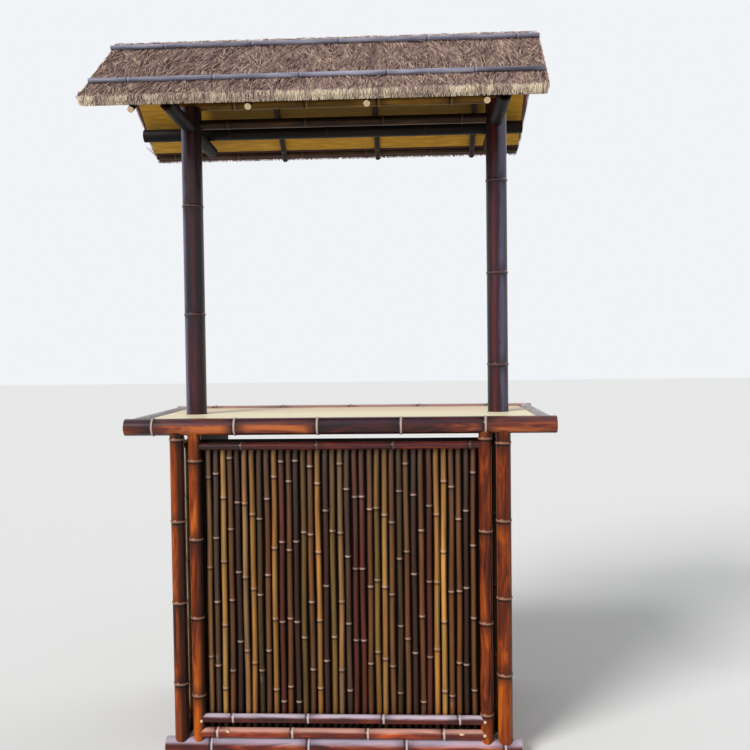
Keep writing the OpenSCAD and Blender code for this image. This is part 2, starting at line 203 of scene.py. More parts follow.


# A lacquered culm. axis is the way of its grain; first and step place its node rings, as pairs
# for the two sides of split, which names an axis and a value on it. The last argument is painted light and shade,
# tints by the way the surface faces: axis, where it rises and falls, colour, amount, and a turn for the second side.
def culm(name, axis, first, step, tones, split=None, ring=rgb(150, 112, 88), burnt=rgb(22, 9, 8), seed=0.0,
         coat=0.25, rough=0.32, spec=0.25, char=0.6, ring_w=0.0042, cut=rgb(214, 190, 140), ends=None,
         vary=0.16, painted_light=()):
    m = Mat(name, rough=rough, coat=coat, spec=spec)
    p = m.xyz()
    along = p[axis]
    if split is None:
        f, s, side = first, step, None
    else:
        side = m.math("GREATER_THAN", p[split[0]], split[1])
        f = m.math("MULTIPLY_ADD", side, first[1] - first[0], first[0])
        s = m.math("MULTIPLY_ADD", side, step[1] - step[0], step[0])
    u = m.math("DIVIDE", m.math("SUBTRACT", along, f), s)
    dist = m.math("MULTIPLY", m.math("SUBTRACT", u, m.math("ROUND", u)), s)
    gap = m.math("ABSOLUTE", dist)
    pick = m.math("ADD", m.math("FLOOR", u), seed)
    if side is not None:
        pick = m.math("MULTIPLY_ADD", side, 7.3, pick)
    tone = m.white(pick)
    wide = [30.0, 30.0, 30.0]
    wide[axis] = 5.0
    fine = [420.0, 420.0, 420.0]
    fine[axis] = 8.0
    offset = m.vec(m.math("MULTIPLY", tone, 9.0), seed, m.math("MULTIPLY", tone, 5.0))
    patch = m.noise(m.plus(m.scaled(tuple(wide)), offset), 1.0, 4.0, 0.6, 0.8)
    grain = m.noise(m.scaled(tuple(fine)), 1.0, 2.0, 0.6)
    level = m.math("MULTIPLY_ADD", m.math("SUBTRACT", tone, 0.5), vary, patch)
    level = m.math("MULTIPLY_ADD", m.math("SUBTRACT", grain, 0.5), 0.3, level)
    n = len(tones)
    colour = m.ramp(level, [(0.27 + 0.46 * i / (n - 1), c) for i, c in enumerate(tones)])
    faces = m.xyz(m.node("ShaderNodeNewGeometry").outputs["Normal"])
    # Painted light and shade: each tint follows the way the surface faces
    for way, a, b, c, d, tint, amount, turn in painted_light:
        v = m.math("MULTIPLY_ADD", m.math("SUBTRACT", patch, 0.5), 0.7, faces[way])
        if side is not None:
            v = m.math("MULTIPLY_ADD", side, -turn, v)
        band = m.math("MULTIPLY", m.span(v, a, b), m.span(v, c, d, 1.0, 0.0))
        colour = m.mix(m.math("MULTIPLY", band, amount), colour, tint)
    smoke = m.math("MULTIPLY", m.span(gap, 0.003, 0.050, 1.0, 0.0), m.span(patch, 0.34, 0.6))
    colour = m.mix(m.math("MULTIPLY", smoke, char), colour, burnt)
    # Painted shade: a dark band just below each node ring
    under = m.span(m.math("ABSOLUTE", m.math("ADD", dist, ring_w * 1.8)), ring_w * 0.3, ring_w * 1.3, 1.0, 0.0)
    colour = m.mix(m.math("MULTIPLY", under, 0.8), colour, burnt)
    colour = m.mix(m.math("MULTIPLY", m.span(gap, ring_w * 0.35, ring_w, 1.0, 0.0), 0.85), colour, ring)
    if ends is not None:
        over = m.math("GREATER_THAN", m.math("ABSOLUTE", m.math("SUBTRACT", along, ends[0])), ends[1] - 0.0006)
        colour = m.mix(over, colour, cut)
    height = m.math("MULTIPLY_ADD", patch, 0.4, m.math("MULTIPLY", grain, 0.5))
    return m.done(colour, m.bump(height, 0.22, 0.0008), m.span(patch, 0.3, 0.7, rough + 0.08, rough - 0.06))


orange = [rgb(42, 14, 5), rgb(98, 36, 9), rgb(150, 66, 12), rgb(192, 98, 20)]
maroon = [rgb(28, 8, 12), rgb(70, 20, 18), rgb(122, 44, 22), rgb(188, 92, 36)]
burnt_beam = [rgb(24, 8, 12), rgb(58, 20, 20), rgb(104, 40, 26), rgb(188, 98, 44)]
black = [rgb(8, 4, 7), rgb(18, 6, 11), rgb(36, 10, 16), rgb(70, 20, 24)]
pitch_black = [rgb(8, 7, 7), rgb(16, 12, 11), rgb(30, 20, 17)]
brown = [rgb(30, 18, 10), rgb(56, 35, 17), rgb(84, 56, 26)]
ochre = [rgb(72, 48, 16), rgb(122, 86, 26), rgb(158, 114, 38)]
steel = [rgb(78, 76, 86), rgb(130, 130, 148), rgb(176, 175, 194)]
LEGS = (0, BAR_X)
SHADE = rgb(30, 15, 8)
LILAC = rgb(104, 97, 124)


def painted_shade_side(rise, full, turn):
    """Painted shade: the side of a leg turned away from the light is darkened."""
    return ((0, rise, full, 2.0, 3.0, SHADE, 0.88, turn),)


def painted_top_highlight(amount, tint):
    """Painted highlight: the top of a rail made pale, as the sky's reflection."""
    return ((2, 0.20, 0.85, 0.95, 1.25, tint, amount, 0.0),)


# Painted shade down one side of each front leg
dress(culm("front_outer_leg_lacquer", 2, (0.222, 0.256), (0.260, 0.243), orange, LEGS, seed=1.0, char=0.75,
           coat=0.12, spec=0.15, painted_light=painted_shade_side(-0.25, 0.45, 0.75)), "front_outer_legs")
dress(culm("front_inner_leg_lacquer", 2, (0.184, 0.129), (0.250, 0.290), orange, LEGS, seed=3.0,
           coat=0.12, spec=0.15, painted_light=painted_shade_side(0.25, 0.85, 0.30)), "front_inner_legs")
dress(culm("back_leg_lacquer", 2, (0.168, 0.253), (0.250, 0.250), orange, LEGS, seed=5.0), "back_legs")
# Painted light: by the way the surface faces, the top of the beam gets a dark purple painted reflection and its
# underside is darkened as painted shade
dress(culm("front_beam_lacquer", 0, BAR_X - 0.589, 0.262, burnt_beam, seed=2.0, ends=(BAR_X, 0.68), char=0.85,
           vary=0.3, ring=rgb(200, 172, 160), painted_light=((2, 0.10, 0.55, 2.0, 3.0, rgb(50, 24, 38), 0.8, 0.0),
                                            (2, -3.0, -2.0, -0.85, -0.6, rgb(34, 20, 12), 0.7, 0.0))),
      "front_counter_beam")
# Painted highlight: the top of the back beam is made pale
dress(culm("back_beam_lacquer", 0, BAR_X - 0.530, 0.262, maroon, seed=9.0, ends=(BAR_X, 0.68),
           painted_light=((2, 0.5, 0.8, 2.0, 3.0, rgb(190, 150, 140), 0.7, 0.0),)), "back_counter_beam")
# Painted reflection: the tops of the end poles are tinted lilac grey
dress(culm("end_pole_lacquer", 1, -0.2, 0.2, maroon, seed=4.0,
           painted_light=((2, 0.4, 0.8, 2.0, 3.0, rgb(92, 74, 84), 0.6, 0.0),)), "counter_end_poles")
dress(culm("bearer_lacquer", 1, -0.15, 0.3, brown, seed=6.0, coat=0.1), "counter_bearers")
# Painted highlights: the sills and the upper and lower panel rails are made pale on top
dress(culm("sill_lacquer", 0, BAR_X - 0.416, 0.310, maroon, seed=8.0, ends=(BAR_X, 0.566), ring=rgb(206, 190, 196),
           painted_light=painted_top_highlight(0.62, rgb(206, 200, 222))), "front_sill", "back_sill")
dress(culm("side_sill_lacquer", 1, -0.1, 0.2, maroon, seed=12.0), "left_sill", "right_sill")
dress(culm("top_rail_lacquer", 0, BAR_X - 0.308, 0.240, maroon[:3], seed=13.0, ring=rgb(96, 62, 56)),
      "panel_top_rail")
dress(culm("upper_rail_lacquer", 0, BAR_X - 0.348, 0.240, maroon[:3], seed=14.0, ring=rgb(206, 180, 182),
           painted_light=painted_top_highlight(0.80, rgb(220, 204, 220))), "panel_upper_rail")
dress(culm("lower_rail_lacquer", 0, BAR_X - 0.398, 0.240, [maroon[1], maroon[2], rgb(196, 84, 32)], seed=15.0,
           ring=rgb(214, 186, 176), painted_light=painted_top_highlight(0.70, rgb(232, 178, 160))), "panel_lower_rail")
dress(culm("side_rail_lacquer", 1, -0.17, 0.17, maroon, seed=16.0), "left_side_rails", "right_side_rails")
# Painted reflections: each post gets a lilac band and a wine-red band on the sides that face given ways
dress(culm("left_post_lacquer", 2, FOOT + 0.240, 0.377, black, seed=17.0, ring=rgb(92, 62, 60),
           painted_light=((0, -1.4, -0.85, -0.85, -0.30, LILAC, 0.75, 0.0), (0, -0.2, 0.2, 0.2, 0.6, rgb(84, 40, 52), 0.5, 0.0))),
      "left_post")
dress(culm("right_post_lacquer", 2, FOOT + 0.240, 0.315, black, seed=18.0, ring=rgb(92, 62, 60),
           painted_light=((0, -0.8, -0.35, -0.35, 0.1, rgb(96, 24, 28), 0.6, 0.0), (0, -0.1, 0.4, 0.5, 1.0, LILAC, 0.7, 0.0))),
      "right_post")
dress(culm("tie_lacquer", 1, -0.150, 0.300, pitch_black, seed=19.0, ends=(0.0, 0.2935), ring=rgb(40, 28, 24),
           cut=rgb(40, 28, 20), coat=0.0, spec=0.12, rough=0.6), "left_tie", "right_tie")
# Painted shade: the upper sides of both header poles are darkened, the sides the roof shades
dress(culm("upper_header_varnish", 0, BAR_X - 0.372, 0.250, ochre, seed=20.0, coat=0.0, ends=(BAR_X, 0.562),
           ring=rgb(142, 104, 46), spec=0.15, painted_light=((2, 0.0, 0.5, 2.0, 3.0, rgb(34, 22, 12), 0.8, 0.0),)), "upper_header")
dress(culm("lower_header_varnish", 0, BAR_X - 0.398, 0.270, brown, seed=21.0, coat=0.0, ring=rgb(72, 50, 26),
           spec=0.15, painted_light=((2, -0.2, 0.2, 2.0, 3.0, rgb(22, 14, 9), 0.8, 0.0),)), "lower_header")
dress(culm("king_post_lacquer", 2, 2.17, 0.2, black, seed=22.0), "king_posts")
dress(culm("ridge_pole_lacquer", 0, -0.015, 0.362, black, seed=23.0, ends=(0.0, 0.704), ring=rgb(70, 44, 36)),
      "ridge_pole")
dress(culm("purlin_lacquer", 0, -0.015, 0.362, pitch_black, seed=24.0, ends=(0.0, 0.704), ring=rgb(40, 28, 24),
           coat=0.0, spec=0.15, rough=0.5, cut=rgb(50, 34, 26)), "front_purlin", "back_purlin")
dress(culm("eave_pole_varnish", 0, 0.12, 0.25, brown, seed=25.0, coat=0.0, ends=(0.0, 0.704), spec=0.15,
           ring=rgb(96, 66, 34)), "front_eave_pole", "back_eave_pole")
dress(culm("ridge_batten_lacquer", 0, 0.06, 0.30, steel, seed=30.0, ends=(0.0, 0.732), ring=rgb(164, 152, 170),
           cut=rgb(110, 96, 90), burnt=rgb(58, 52, 64), ring_w=0.003, char=0.3), "ridge_battens")
dress(culm("lower_batten_lacquer", 0, -0.04, 0.27, steel, seed=31.0, ends=(0.0, 0.707), ring=rgb(164, 152, 170),
           cut=rgb(110, 96, 90), burnt=rgb(58, 52, 64), ring_w=0.003, char=0.3), "lower_battens")


# Rafters run down the slope, so their grain follows it, and their tips are pale cuts
def rafter_material():
    m = Mat("rafter_lacquer", rough=0.45, coat=0.05, spec=0.25)
    p = m.xyz()
    down = m.math("MULTIPLY", m.math("SUBTRACT", APEX, p[2]), math.sin(PITCH))
    s = m.math("MULTIPLY_ADD", m.math("ABSOLUTE", p[1]), math.cos(PITCH), down)
    grain = m.noise(m.scaled((300.0, 12.0, 12.0)), 1.0, 3.0)
    colour = m.ramp(grain, [(0.3, rgb(16, 11, 11)), (0.6, rgb(38, 24, 18)), (0.8, rgb(62, 42, 26))])
    ring = m.span(m.math("PINGPONG", m.math("ADD", s, 0.03), 0.11), 0.002, 0.004, 0.6, 0.0)
    colour = m.mix(ring, colour, rgb(96, 70, 48))
    end = m.ramp(m.noise(m.scaled((500.0, 500.0, 500.0))), [(0.35, rgb(214, 178, 130)), (0.65, rgb(250, 228, 188))])
    colour = m.mix(m.math("GREATER_THAN", s, RAFTER - 0.0008), colour, end)
    return m.done(colour, m.bump(grain, 0.2))


dress(rafter_material(), "front_rafters", "back_rafters")


def board(name, stops, scale, rough, lines=None):
    m = Mat(name, rough=rough, spec=0.3)
    g = m.noise(m.scaled(scale), 1.0, 4.0, 0.6, 0.2)
    colour = m.ramp(g, stops)
    height = g
    if lines is not None:
        axis, pitch, tint, seam_colour, width = lines
        c = m.math("DIVIDE", m.xyz()[axis], pitch)
        edge = m.math("ABSOLUTE", m.math("SUBTRACT", m.math("FRACT", c), 0.5))
        seam = m.span(edge, 0.5 - width / pitch, 0.5, 0.0, 1.0)
        colour = m.mix(m.math("MULTIPLY", m.white(m.math("FLOOR", c)), 0.4), colour, tint)
        colour = m.mix(m.math("MULTIPLY", seam, 0.6), colour, seam_colour)
        height = m.math("SUBTRACT", m.math("MULTIPLY", g, 0.4), seam)
    return m, colour, m.bump(height, 0.25, 0.001)


# Painted shade: the backing boards are near black, standing in for the shade behind the slats
m, colour, normal = board("backing_shade_black", [(0.3, rgb(9, 4, 4)), (0.7, rgb(24, 11, 8))], (60.0, 60.0, 6.0), 0.8)
BACKING = m.done(colour, normal)
dress(BACKING, "left_side_backing", "right_side_backing")
m, colour, normal = board("ochre_roof_ply", [(0.3, rgb(158, 112, 20)), (0.55, rgb(184, 136, 34)),
                                             (0.75, rgb(204, 158, 56))], (14.0, 120.0, 120.0), 0.6)
# Painted shade: between the posts the ply is darkened towards the ridge
across = m.span(m.math("ABSOLUTE", m.math("SUBTRACT", m.xyz()[0], BAR_X)), 0.49, 0.54, 1.0, 0.0)
inward = m.span(m.math("ABSOLUTE", m.xyz()[1]), 0.20, 0.28, 1.0, 0.0)
colour = m.mix(m.math("MULTIPLY", m.math("MULTIPLY", across, inward), 0.8), colour, rgb(74, 56, 20))
dress(m.done(colour, normal), "front_roof_board", "back_roof_board")
m, colour, normal = board("pale_counter_strips", [(0.3, rgb(246, 230, 182)), (0.6, rgb(255, 248, 212))],
                          (6.0, 160.0, 60.0), 0.45, (1, 0.0315, rgb(240, 214, 172), rgb(168, 130, 84), 0.0014))
# Painted shade: the back of the counter is darker and pinker than its front
back = m.span(m.xyz()[1], -0.10, 0.26)
colour = m.mix(m.math("MULTIPLY", back, 0.7), colour, rgb(214, 180, 148))
dress(m.done(colour, normal), "counter_board")


def make_mesh(name, verts, faces, mat, tones=None):
    """Points and equal-sided faces as arrays, with a colour for each point."""
    me = bpy.data.meshes.new(name)
    me.vertices.add(len(verts))
    me.vertices.foreach_set("co", np.asarray(verts, dtype=np.float32).ravel())
    faces = np.asarray(faces, dtype=np.int32)
    k = faces.shape[1]
    me.loops.add(faces.size)
    me.loops.foreach_set("vertex_index", faces.ravel())
    me.polygons.add(len(faces))
    me.polygons.foreach_set("loop_start", np.arange(0, faces.size, k, dtype=np.int32))
    me.update(calc_edges=True)
    me.validate()
    if tones is not None:
        a = me.color_attributes.new("tone", "FLOAT_COLOR", "POINT")
        a.data.foreach_set("color", np.asarray(tones, dtype=np.float32).ravel())
    me.materials.append(mat)
    ob = bpy.data.objects.new(name, me)
    bpy.context.scene.collection.objects.link(ob)
    return ob


def smooth(ob):
    ob.data.polygons.foreach_set("use_smooth", [True] * len(ob.data.polygons))
    return ob


def plank(name, low, high, edge, mat):
    """A board between two corners, with its arrises taken off at both broad faces."""
    (x0, y0, z0), (x1, y1, z1) = low, high
    verts = []
    for y, e in ((y0, edge), (y0 + edge, 0), (y1 - edge, 0), (y1, edge)):
        verts += [(x0 + e, y, z0 + e), (x1 - e, y, z0 + e), (x1 - e, y, z1 - e), (x0 + e, y, z1 - e)]
    faces = [(0, 1, 2, 3), (15, 14, 13, 12)]
    for k in range(0, 12, 4):
        faces += [(k + (j + 1) % 4, k + j, k + 4 + j, k + 4 + (j + 1) % 4) for j in range(4)]
    return make_mesh(name, verts, faces, mat)


# The board behind the front slats reaches a little way behind the inner legs
(x0, y0, z0), (x1, y1, z1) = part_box("front_backing")
piece = plank("front_backing_board", (x0 - BACKING_LAP, y0, z0), (x1 + BACKING_LAP, y1, z1), 0.0008, BACKING)
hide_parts("front_backing")
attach(piece, "root")


# Slats: each with its own stain, a little bent and tapered, with beaded nodes where the part has them
def slat_varnish():
    m = Mat("slat_varnish", rough=0.4, coat=0.05, coat_rough=0.2, spec=0.22)
    p = m.xyz()
    tone = m.attr("tone")
    streak = m.noise(m.vec(m.math("MULTIPLY", p[0], 700.0), m.math("MULTIPLY", p[1], 700.0),
                           m.math("MULTIPLY", p[2], 5.0)), 1.0, 3.0, 0.65)
    cloud = m.noise(m.scaled((90.0, 90.0, 6.0)), 1.0, 3.0)
    dark = m.ramp(m.math("MULTIPLY_ADD", streak, 0.6, m.math("MULTIPLY", cloud, 0.5)),
                  [(0.36, (0.34, 0.30, 0.28)), (0.52, (0.85, 0.82, 0.78)), (0.68, (1.22, 1.16, 1.05))])
    colour = m.mix(1.0, tone, dark, "MULTIPLY")
    return m.done(colour, m.bump(streak, 0.2, 0.0006), m.span(cloud, 0.3, 0.7, 0.5, 0.36))


SLAT_MAT = slat_varnish()
STAINS = {
    "gold": rgb(200, 148, 80), "honey": rgb(168, 118, 60), "tan": rgb(150, 112, 72), "olive": rgb(122, 90, 42),
    "brown": rgb(108, 68, 36), "dark": rgb(52, 30, 20), "maroon": rgb(84, 38, 24), "moss": rgb(70, 52, 26),
    "grey": rgb(78, 56, 40)}
ORDER = ("tan grey gold brown dark tan honey moss brown honey maroon brown dark olive brown honey dark olive tan "
         "grey maroon maroon brown olive honey brown moss brown dark brown maroon honey gold brown brown dark "
         "brown").split()


def slat_row(name, node, places, numbers, along):
    """Slats at the given axes; along is 0 for a row in x and 1 for a row in y."""
    sides = 12
    ang = np.arange(sides) * 2 * math.pi / sides
    verts, tones, faces = [], [], []
    bead = rgb(196, 164, 152)
    for (x, y), i in zip(places, numbers):
        stops = [SLAT_FIRST[i] / 1000]
        while stops[-1] + SLAT_NODES[i] / 1000 <= SLAT_L - 0.042:
            stops.append(stops[-1] + SLAT_NODES[i] / 1000)
        z = set(np.linspace(0, SLAT_L, 25))
        for q in stops:
            z.update(q + d for d in (-0.012, -0.0065, -0.0045, -0.0025, -0.001, 0.001, 0.0025, 0.0045, 0.0065, 0.012))
        z = np.array(sorted(z))
        near = np.min(np.abs(z[:, None] - np.array(stops)[None]), axis=1)
        signed = z - np.array(stops)[np.argmin(np.abs(z[:, None] - np.array(stops)[None]), axis=1)]
        r = SLAT_R * (0.95 + 0.05 * np.clip(1 - near / 0.02, 0, 1)) + 0.00095 * np.exp(-(near / 0.0028) ** 2)
        r -= 0.0005 * np.exp(-((signed + 0.0065) / 0.002) ** 2)
        a, b = rng.uniform(0, 6.3, 2)
        bend = 0.0013 * np.sin(z * 5.0 + a) + 0.0007 * np.sin(z * 13.0 + b)
        cell = np.searchsorted(stops, z - 0.003)
        base = np.array(STAINS[ORDER[i]])
        shade = rng.uniform(0.72, 1.18, len(stops) + 2)[cell]
        warm = rng.uniform(-0.12, 0.12, len(stops) + 2)[cell]
        col = base[None, :] * shade[:, None]
        col[:, 0] *= 1 + warm
        col[:, 2] *= 1 - warm
        grey = np.clip((z + SLAT_Z0 - 0.62) / 0.34, 0, 1)[:, None] * 0.5
        col = col * (1 - grey) + np.array(rgb(86, 70, 62)) * (0.5 + 0.5 * shade[:, None]) * grey
        low = np.clip((0.34 - z) / 0.3, 0, 1)[:, None] * 0.25
        col = col * (1 - low) + np.array(rgb(60, 36, 18)) * low
        # Painted shade: a dark band just below each node
        painted_node_shade = np.exp(-((signed + 0.007) / 0.0035) ** 2)[:, None] * 0.8
        col = col * (1 - painted_node_shade) + np.array(rgb(22, 12, 9)) * painted_node_shade
        # Painted highlight: the bead at each node is made pale
        painted_bead_highlight = np.clip(1.35 - near / 0.0026, 0, 1)[:, None] * rng.uniform(0.55, 1.0)
        col = col * (1 - painted_bead_highlight) + np.array(bead) * painted_bead_highlight
        col[:, 3] = 1
        foot = np.clip((0.066 - z) / 0.012, 0, 1)[:, None] * 0.85
        col = col * (1 - foot) + np.array(rgb(12, 7, 6)) * foot
        n0 = sum(len(v) for v in verts)
        dx, dy = (bend, 0 * bend) if along == 0 else (0 * bend, bend)
        ring = np.stack([x + dx[:, None] + r[:, None] * np.cos(ang), y + dy[:, None] + r[:, None] * np.sin(ang),
                         np.repeat((z + SLAT_Z0)[:, None], sides, 1)], axis=-1)
        verts.append(ring.reshape(-1, 3))
        # Painted shade: the sides of each slat that face its neighbours are darkened, as the grooves between them are
        # in shade
        open_face = np.abs(np.sin(ang)) if along == 0 else np.abs(np.cos(ang))
        tint = np.repeat(col[:, None], sides, 1)
        tint[..., :3] *= (0.22 + 0.86 * open_face ** 1.3)[None, :, None]
        tones.append(tint.reshape(-1, 4))
        k = np.arange(len(z) - 1)[:, None] * sides
        j = np.arange(sides)[None]
        nxt = (j + 1) % sides
        quad = np.stack([k + j, k + nxt, k + sides + nxt, k + sides + j], axis=-1).reshape(-1, 4)
        faces.append(quad + n0)
    ob = smooth(make_mesh(name, np.concatenate(verts), np.concatenate(faces), SLAT_MAT, np.concatenate(tones)))
    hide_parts(node)
    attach(ob, "root")
    return ob


slat_row("front_slat_row", "front_slats", [(BAR_X + (i - 18) * SLAT_PITCH, -0.2805) for i in range(37)],
         range(37), 0)
for s, word in ((-1, "left"), (1, "right")):
    places = [(BAR_X + s * 0.4955, e * 0.15625 + (i - 4) * SLAT_PITCH) for e in (-1, 1) for i in range(9)]
    numbers = [(18 + 11 * s + 5 * e + i) % 37 for e in (-1, 1) for i in range(9)]
    slat_row(word + "_slat_row", word + "_side_slats", places, numbers, 1)


# Thatch. A point on a slope: side -1 is the front, s runs down the rafters, p stands off them
def on_slope(side, x, s, p):
    y = s * math.cos(PITCH) + p * math.sin(PITCH)
    z = APEX - s * math.sin(PITCH) + p * math.cos(PITCH)
    return np.stack([x, side * y, z], axis=-1)


def half_length(s):
    """The thatch is a little longer at the ridge than at the eave."""
    return THATCH_L / 2 + 0.014 - 0.024 * np.clip(s / THATCH_END, 0, 1)


def stem_material(name, rough):
    m = Mat(name, rough=rough, spec=0.15)
    n = m.noise(m.scaled((260.0, 260.0, 260.0)), 1.0, 2.0)
    colour = m.mix(m.math("MULTIPLY", n, 0.14), m.attr("tone"), rgb(104, 76, 66))
    return m.done(colour, m.bump(n, 0.4, 0.001))


STEMS = stem_material("thatch_stems", 0.8)
FELT = stem_material("thatch_felt", 0.95)
DARK = np.array(rgb(86, 63, 58))
STRAW = np.array(rgb(255, 238, 206))


def felt(side, name):
    """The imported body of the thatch, inside the part's own outline."""
    top = THATCH_TOP - 0.004
    outline = [(-0.0123, THATCH_SEAT + 0.001), (EAVE_STEP - 0.001, THATCH_SEAT + 0.001),
               (EAVE_STEP - 0.001, EAVE_SEAT + 0.001), (LIP_S + 0.001, EAVE_SEAT + 0.001),
               (LIP_S + 0.001, LIP_SEAT + 0.001), (THATCH_END - 0.003, LIP_SEAT + 0.001),
               (THATCH_END - 0.002, 0.032), (THATCH_END - 0.003, top - 0.006), (THATCH_END - 0.010, top)]
    body = len(outline)
    ridge = -top * math.tan(PITCH)
    prof = np.array(outline + [(s, top) for s in np.linspace(THATCH_END - 0.02, ridge, 30)])
    nx, k = 170, len(prof)
    t = np.linspace(-1, 1, nx)[:, None]
    s, p = prof[None, :, 0], prof[None, :, 1].repeat(nx, 0)
    x = t * (half_length(s) - 0.006)
    upper = np.arange(k)[None] >= body
    p = p + np.where(upper, 0.0025 * np.sin(x * 61 + s * 43) * np.sin(x * 23 - s * 71), 0)
    p = p + np.where(upper, rng.uniform(-0.0012, 0.0012, p.shape), 0)
    verts = on_slope(side, x, s.repeat(nx, 0), p)
    verts[..., 1] = side * np.maximum(side * verts[..., 1], 0)
    ends = (np.arange(k) >= body - 3) & (np.arange(k) < body - 1)
    eave = np.broadcast_to(ends[None], p.shape)[..., None] * 0.6
    shade = rng.uniform(0.35, 1.0, p.shape)[..., None]
    tones = DARK * 0.8 * (1 - eave) + STRAW * eave * shade
    tones[..., 3] = 1
    i = np.arange(nx - 1)[:, None] * k
    j = np.arange(k)[None]
    nxt = (j + 1) % k
    quads = np.stack([i + j, i + nxt, i + k + nxt, i + k + j], axis=-1).reshape(-1, 4)
    # Both gable ends are closed by a fan of four-sided faces between the lower and upper lines
    caps = []
    low = list(range(body))
    for start in (0, (nx - 1) * k):
        for j in range(k - body - 1):
            share = (j + 1) / (k - body)
            a = low[max(0, body - 1 - round(share * (body - 1)))]
            b = low[max(0, body - 1 - round((share + 1 / (k - body)) * (body - 1)))]
            caps.append([start + body + j, start + body + j + 1, start + b, start + a])
    faces = np.concatenate([quads, np.array(caps)])
    return make_mesh(name, verts.reshape(-1, 3), faces if side < 0 else faces[:, ::-1], FELT, tones.reshape(-1, 4))


def field(step_x, step_s, lo, hi):
    """A patchy random field over the slope, for clumps that share a lean or a tone."""
    grid = rng.uniform(lo, hi, (int(1.6 / step_x), int(0.7 / step_s) + 2))

    def look(x, s):
        a = np.clip(((x + 0.79) / step_x).astype(int), 0, grid.shape[0] - 1)
        b = np.clip(((s + 0.08) / step_s).astype(int), 0, grid.shape[1] - 1)
        return grid[a, b]
    return look


PALETTE = np.array([rgb(142, 112, 106), rgb(190, 158, 150), rgb(220, 190, 174), rgb(168, 138, 132),
                    rgb(238, 210, 176), rgb(92, 72, 80), rgb(248, 226, 190)])
SHARES = [0.20, 0.24, 0.18, 0.16, 0.09, 0.09, 0.04]


def ribbons(side, x, s, p, width, twist, tones):
    """Flat stems of three spans; x, s, p are (n, 4) and tones (n, 4, 4)."""
    n = len(x)
    verts = np.zeros((n, 4, 2, 3))
    for k in range(4):
        w = width * (1.0 - 0.16 * k)
        off_x, off_p = w * np.cos(twist) / 2, w * np.sin(twist) / 2
        verts[:, k, 0] = on_slope(side, x[:, k] - off_x, s[:, k], p[:, k] - off_p)
        verts[:, k, 1] = on_slope(side, x[:, k] + off_x, s[:, k], p[:, k] + off_p)
    idx = (np.arange(n) * 8)[:, None, None]
    quad = np.array([[2 * k, 2 * k + 1, 2 * k + 3, 2 * k + 2] for k in range(3)])[None]
    faces = (idx + quad).reshape(-1, 4)
    return verts.reshape(-1, 3), faces, np.repeat(tones[:, :, None], 2, axis=2).reshape(-1, 4)


def tempered(tones):
    """Tones dimmed, hue kept, where they would be paler than any straw."""
    return tones * np.minimum(1.0, 0.88 / tones.max(axis=-1, keepdims=True))


def surface_stems(side, n):
    lean_of, tone_of, lift_of = field(0.030, 0.09, -0.30, 0.30), field(0.014, 0.05, 0.7, 1.6), \
        field(0.016, 0.06, -0.003, 0.003)
    s1 = rng.uniform(0.0, 1.0, n) ** 0.9 * (THATCH_END - 0.004) + 0.012
    u = rng.uniform(-1, 1, n)
    x1 = u * half_length(s1) + np.where(np.abs(u) > 0.985, rng.normal(0, 0.006, n), 0)
    length = rng.uniform(0.045, 0.125, n)
    s0 = np.maximum(s1 - length, -0.030)
    lean = lean_of(x1, s1) + rng.normal(0, 0.16, n)
    t = np.linspace(0, 1, 4)[None]
    s = s0[:, None] * (1 - t) + s1[:, None] * t
    x = x1[:, None] - lean[:, None] * (s1 - s0)[:, None] * (1 - t)
    x = np.clip(x, -half_length(s) - 0.003, half_length(s) + 0.003)
    lift = lift_of(x1, s1) + rng.uniform(-0.001, 0.005, n)
    p = (THATCH_TOP - 0.005) * (1 - t) + (THATCH_TOP + lift[:, None] - 0.001) * t + 0.0015 * np.sin(3.1 * t)
    over = np.clip((s - THATCH_END + 0.012) / 0.02, 0, 1)
    p = p - 0.012 * over ** 1.5
    base = PALETTE[rng.choice(len(PALETTE), n, p=SHARES)] * (tone_of(x1, s1) * rng.uniform(0.85, 1.15, n))[:, None]
    tones = tempered(base[:, None, :] * (0.82 + 0.3 * t[..., None]))
    tones[..., 3] = 1
    return ribbons(side, x, s, p, rng.uniform(0.0012, 0.0032, n), rng.uniform(-0.8, 0.8, n), tones)


